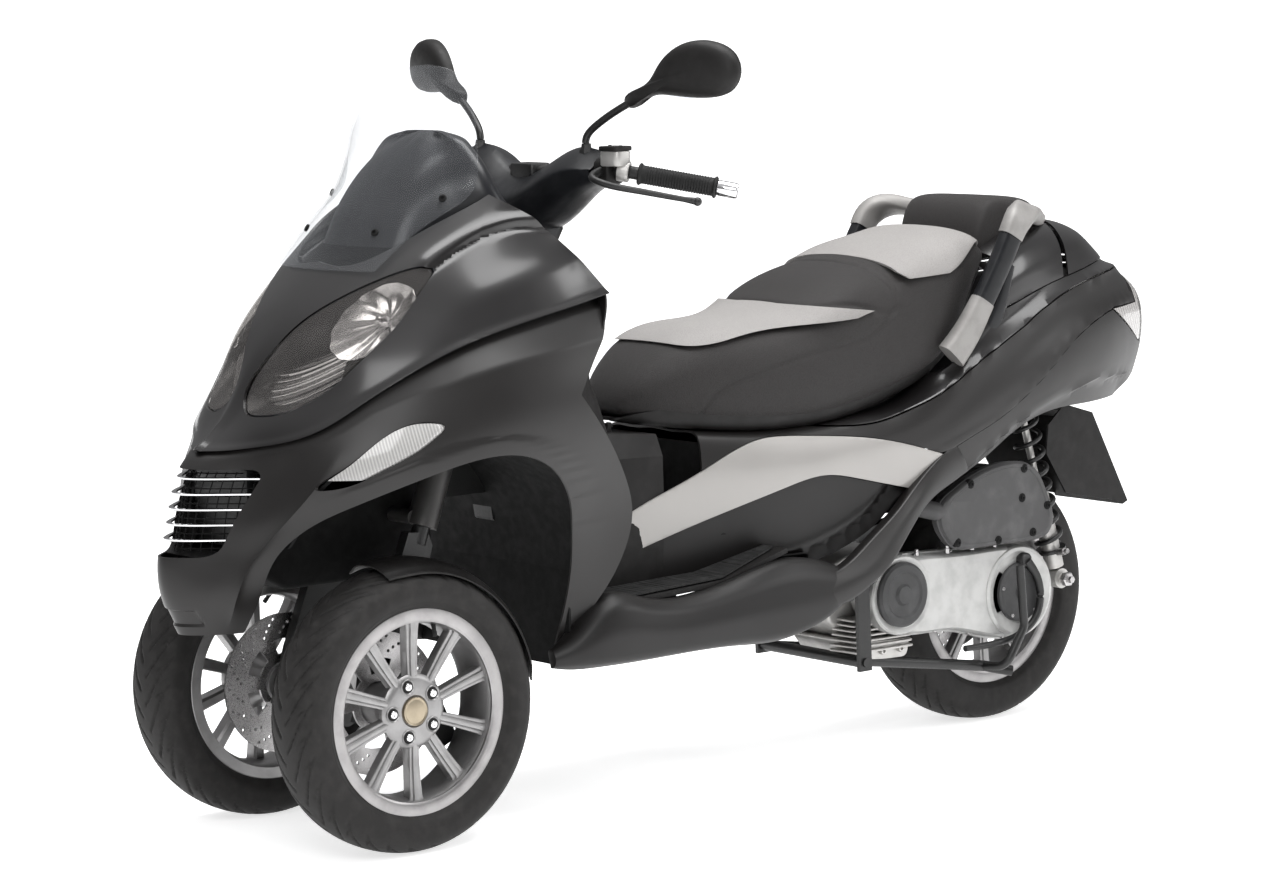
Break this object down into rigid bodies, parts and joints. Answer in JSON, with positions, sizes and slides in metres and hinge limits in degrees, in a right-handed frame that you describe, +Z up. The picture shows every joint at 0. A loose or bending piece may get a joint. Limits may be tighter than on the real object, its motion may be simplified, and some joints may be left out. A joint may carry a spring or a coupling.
{
  "type": "reverse trike scooter",
  "caption": "Three-wheeled motor scooter with a pair of steered front wheels, a stepped seat that lifts, a trunk lid and a retracted centre stand.",
  "frame": {"origin": "on the floor, midway between the nose and the tail, on the middle plane", "axes": "+Z up, +Y towards the tail (the front faces -Y), +X towards the vehicle's left side"},
  "size_m": [0.919, 2.19, 1.3129],
  "materials": {
    "paint_gloss": "gloss, dark graphite",
    "paint_satin": "satin, warm dark graphite",
    "black_plastic": "matt black moulding",
    "grey_plastic": "grey moulding",
    "clear_screen": "clear, tinted at its foot",
    "clear_lens": "clear lens",
    "tail_lens": "frosted lens",
    "seat_vinyl": "grained dark vinyl",
    "rubber_black": "soft ribbed rubber",
    "tyre_black": "matt",
    "rim_grey": "painted silver-grey with turned edge",
    "disc_steel": "ground",
    "cast_alloy": "bead-blasted casting",
    "frame_black": "semi-gloss black",
    "arm_grey": "grey",
    "chrome": "polished",
    "mirror_glass": "silvered"
  },
  "bodies": {
    "chassis": {"frame": "frame_black", "radiator": "frame_black", "suspension_arms": "arm_grey", "arch_liner": "black_plastic", "upper_shield": "paint_gloss", "lower_fascia": "paint_satin", "headlamps": "clear_lens", "front_signals": "clear_lens", "grille_slats": "chrome", "leg_shield": "black_plastic", "dash_cowl": "black_plastic", "windscreen": "clear_screen", "side_sills": "black_plastic", "footboards": "rubber_black", "tunnel": "black_plastic", "side_covers": "paint_satin", "tail_panels": "paint_satin", "tail_skirts": "paint_satin", "tail_lamp": "tail_lens", "storage_tub": "black_plastic", "grab_rails": "cast_alloy", "backrest_pad": "seat_vinyl", "engine": "cast_alloy", "airbox": "grey_plastic", "rear_shocks": "chrome", "silencer": "frame_black", "rear_fender": "black_plastic"},
    "handlebar": {"handlebar": "frame_black", "grips": "rubber_black", "bar_cover": "black_plastic", "mirrors": "black_plastic", "mirror_glasses": "mirror_glass"},
    "knuckle_left": {"knuckle_left": "frame_black", "mudguard_left": "black_plastic"},
    "knuckle_right": {"knuckle_right": "frame_black", "mudguard_right": "black_plastic"},
    "wheel_left": {"tyre_left": "tyre_black", "rim_left": "rim_grey", "disc_left": "disc_steel"},
    "wheel_right": {"tyre_right": "tyre_black", "rim_right": "rim_grey", "disc_right": "disc_steel"},
    "wheel_rear": {"tyre_rear": "tyre_black", "rim_rear": "rim_grey", "disc_rear": "disc_steel"},
    "seat": {"seat_cushion": "seat_vinyl", "seat_base": "black_plastic"},
    "trunk_lid": {"trunk_lid": "paint_satin"},
    "centre_stand": {"centre_stand": "frame_black"}
  },
  "joints": [
    {"name": "steering", "type": "hinge", "parent": "chassis", "child": "handlebar", "pos_m": [0, -0.335, 1.04], "axis": [0, 0.342, 0.9397], "range_deg": [-30, 30]},
    {"name": "steer_left", "type": "hinge", "parent": "chassis", "child": "knuckle_left", "pos_m": [0.118, -0.76, 0.2365], "axis": [0, 0.342, 0.9397], "range_deg": [-30, 30]},
    {"name": "steer_right", "type": "hinge", "parent": "chassis", "child": "knuckle_right", "pos_m": [-0.118, -0.76, 0.2365], "axis": [0, 0.342, 0.9397], "range_deg": [-30, 30]},
    {"name": "wheel_left_spin", "type": "hinge", "parent": "knuckle_left", "child": "wheel_left", "pos_m": [0.21, -0.77, 0.2365], "axis": [1, 0, 0], "continuous": true},
    {"name": "wheel_right_spin", "type": "hinge", "parent": "knuckle_right", "child": "wheel_right", "pos_m": [-0.21, -0.77, 0.2365], "axis": [1, 0, 0], "continuous": true},
    {"name": "wheel_rear_spin", "type": "hinge", "parent": "chassis", "child": "wheel_rear", "pos_m": [0, 0.72, 0.2435], "axis": [1, 0, 0], "continuous": true},
    {"name": "seat_hinge", "type": "hinge", "parent": "chassis", "child": "seat", "pos_m": [0, -0.198, 0.644], "axis": [1, 0, 0], "range_deg": [0, 55]},
    {"name": "trunk_hinge", "type": "hinge", "parent": "chassis", "child": "trunk_lid", "pos_m": [0, 0.809, 0.944], "axis": [1, 0, 0], "range_deg": [0, 55]},
    {"name": "stand_pivot", "type": "hinge", "parent": "chassis", "child": "centre_stand", "pos_m": [0, 0.31, 0.172], "axis": [-1, 0, 0], "range_deg": [0, 65]}
  ],
  "couplings": [
    {"joint": "steer_left", "follows": "steering", "ratio": 1},
    {"joint": "steer_right", "follows": "steering", "ratio": 1}
  ]
}
